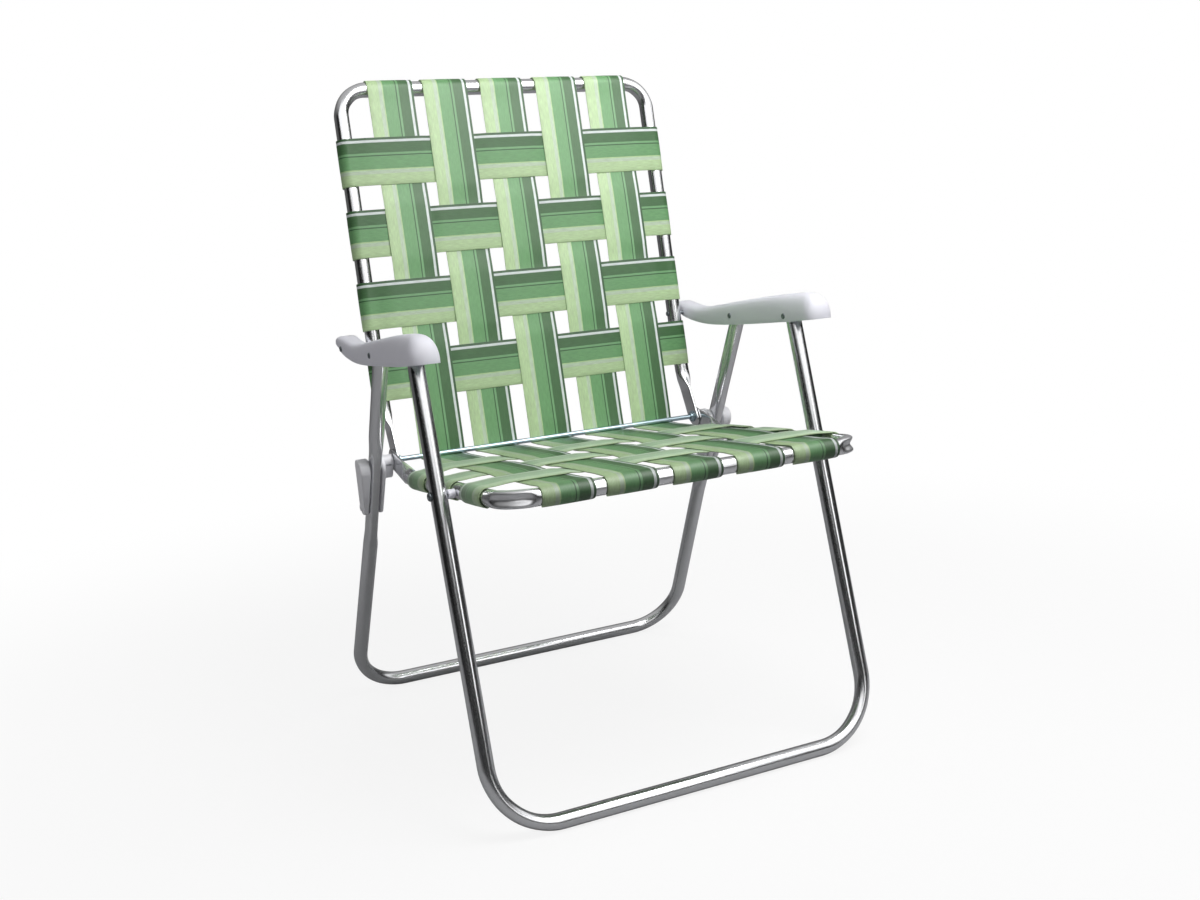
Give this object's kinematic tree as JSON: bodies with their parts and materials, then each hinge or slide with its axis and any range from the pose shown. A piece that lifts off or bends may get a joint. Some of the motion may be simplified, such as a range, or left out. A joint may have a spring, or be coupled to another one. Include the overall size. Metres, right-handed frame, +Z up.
{
  "type": "folding webbed lawn chair",
  "caption": "Folding outdoor chair with bent aluminium tube frames, interlaced striped webbing on seat and back, moulded armrests and plastic hinge brackets.",
  "frame": {"origin": "middle of the footprint on the ground, centred between the front edge of the seat and the rear cross tube", "axes": "+Z up, the sitter faces -Y, +X to the sitter's left, which is on the right of a viewer in front"},
  "size_m": [0.5084, 0.5308, 0.7862],
  "materials": {
    "tube": "polished, drawn aluminium tube",
    "steel": "zinc plated steel rod, push nuts and rivets",
    "white_plastic": "smooth moulded white plastic, faintly lavender",
    "grey_plastic": "moulded grey-white plastic",
    "webbing": "woven plastic webbing with lengthwise green and white stripes"
  },
  "bodies": {
    "seat": {"seat_frame": "tube", "cross_rod": "steel", "rod_collar_right": "steel", "rod_collar_left": "steel", "leg_spacer_right": "white_plastic", "leg_spacer_left": "white_plastic", "seat_leg_rivet_right": "steel", "seat_leg_rivet_left": "steel", "seat_web_1": "webbing", "seat_web_2": "webbing", "seat_web_3": "webbing", "seat_web_4": "webbing", "seat_web_5": "webbing", "seat_cross_web_1": "webbing", "seat_cross_web_2": "webbing", "seat_cross_web_3": "webbing"},
    "back": {"back_frame": "tube", "back_arm_rivet_right": "steel", "back_arm_rivet_left": "steel", "back_web_1": "webbing", "back_web_2": "webbing", "back_web_3": "webbing", "back_web_4": "webbing", "back_web_5": "webbing", "back_cross_web_1": "webbing", "back_cross_web_2": "webbing", "back_cross_web_3": "webbing", "back_cross_web_4": "webbing"},
    "armrests": {"armrest_right": "white_plastic", "armrest_left": "white_plastic", "front_arm_rivet_right": "steel", "front_arm_rivet_left": "steel", "rear_arm_rivet_right": "steel", "rear_arm_rivet_left": "steel"},
    "front_legs": {"front_leg_frame": "tube"},
    "rear_legs": {"rear_leg_frame": "tube"},
    "brackets": {"hinge_bracket_right": "grey_plastic", "hinge_bracket_left": "grey_plastic", "bracket_outer_rivet_right": "steel", "bracket_outer_rivet_left": "steel", "bracket_inner_rivet_right": "steel", "bracket_inner_rivet_left": "steel"}
  },
  "joints": [
    {"name": "back_fold", "type": "hinge", "parent": "seat", "child": "back", "pos_m": [0, 0.10348, 0.3405], "axis": [1, 0, 0], "range_deg": [0, 90]},
    {"name": "front_leg_fold", "type": "hinge", "parent": "seat", "child": "front_legs", "pos_m": [0, -0.134, 0.34665], "axis": [1, 0, 0], "range_deg": [0, 88]},
    {"name": "arm_fold", "type": "hinge", "parent": "back", "child": "armrests", "pos_m": [0, 0.14792, 0.47399], "axis": [1, 0, 0], "range_deg": [-89.5, 0]},
    {"name": "rear_leg_fold", "type": "hinge", "parent": "armrests", "child": "rear_legs", "pos_m": [0, 0.02806, 0.47753], "axis": [1, 0, 0], "range_deg": [0, 43.5]},
    {"name": "bracket_fold", "type": "hinge", "parent": "seat", "child": "brackets", "pos_m": [0, 0.10348, 0.3405], "axis": [1, 0, 0], "range_deg": [-77.6, 0]}
  ],
  "couplings": [
    {"joint": "front_leg_fold", "follows": "back_fold", "ratio": 0.9775},
    {"joint": "arm_fold", "follows": "back_fold", "ratio": -0.9911},
    {"joint": "rear_leg_fold", "follows": "back_fold", "ratio": 0.482},
    {"joint": "bracket_fold", "follows": "back_fold", "ratio": -0.8612}
  ]
}
